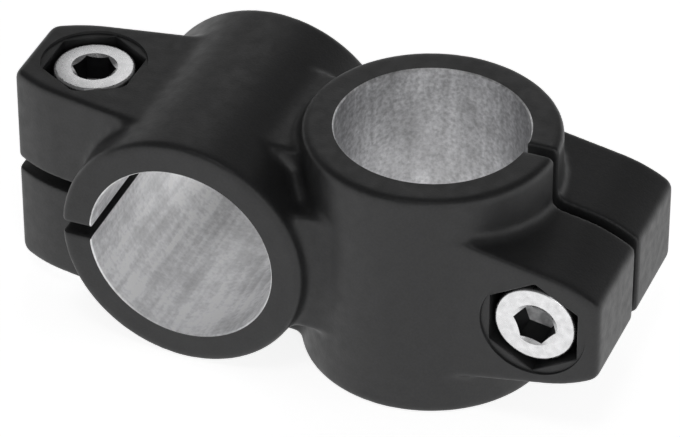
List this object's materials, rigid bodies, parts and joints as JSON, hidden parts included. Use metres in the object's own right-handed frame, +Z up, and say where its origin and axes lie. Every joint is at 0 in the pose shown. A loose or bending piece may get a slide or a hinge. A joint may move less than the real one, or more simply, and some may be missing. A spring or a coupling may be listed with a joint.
{
  "type": "lean tube joint",
  "caption": "Cast cross clamp that holds two round tubes at right angles, with split bores closed by socket screws.",
  "frame": {"origin": "midway between the two bore axes, at mid-length of both bores", "axes": "+X from the horizontal clamp to the vertical clamp, Y along the horizontal bore, +Z up along the vertical bore"},
  "size_m": [0.1, 0.04, 0.04],
  "materials": {
    "coated_casting": "fine-textured black powder coat on cast aluminium, with bare machined bores",
    "bright_screw": "bright stainless steel",
    "bright_nut": "bright stainless steel"
  },
  "bodies": {
    "casting": {"clamp_body": "coated_casting"},
    "horizontal_screw": {"horizontal_clamp_screw": "bright_screw"},
    "horizontal_nut": {"horizontal_clamp_nut": "bright_nut"},
    "vertical_screw": {"vertical_clamp_screw": "bright_screw"},
    "vertical_nut": {"vertical_clamp_nut": "bright_nut"}
  },
  "joints": [
    {"name": "horizontal_screw_turn", "type": "hinge", "parent": "casting", "child": "horizontal_screw", "pos_m": [-0.0395, 0, 0], "axis": [0, 0, 1], "range_deg": [0, 1080]},
    {"name": "horizontal_nut_travel", "type": "slide", "parent": "casting", "child": "horizontal_nut", "axis": [0, 0, -1], "range_m": [0, 0.00376]},
    {"name": "vertical_screw_turn", "type": "hinge", "parent": "casting", "child": "vertical_screw", "pos_m": [0.0395, 0, 0], "axis": [0, -1, 0], "range_deg": [0, 1080]},
    {"name": "vertical_nut_travel", "type": "slide", "parent": "casting", "child": "vertical_nut", "axis": [0, 1, 0], "range_m": [0, 0.00376]}
  ],
  "couplings": [
    {"joint": "horizontal_nut_travel", "follows": "horizontal_screw_turn", "m_per_rad": 0.00019894},
    {"joint": "vertical_nut_travel", "follows": "vertical_screw_turn", "m_per_rad": 0.00019894}
  ]
}
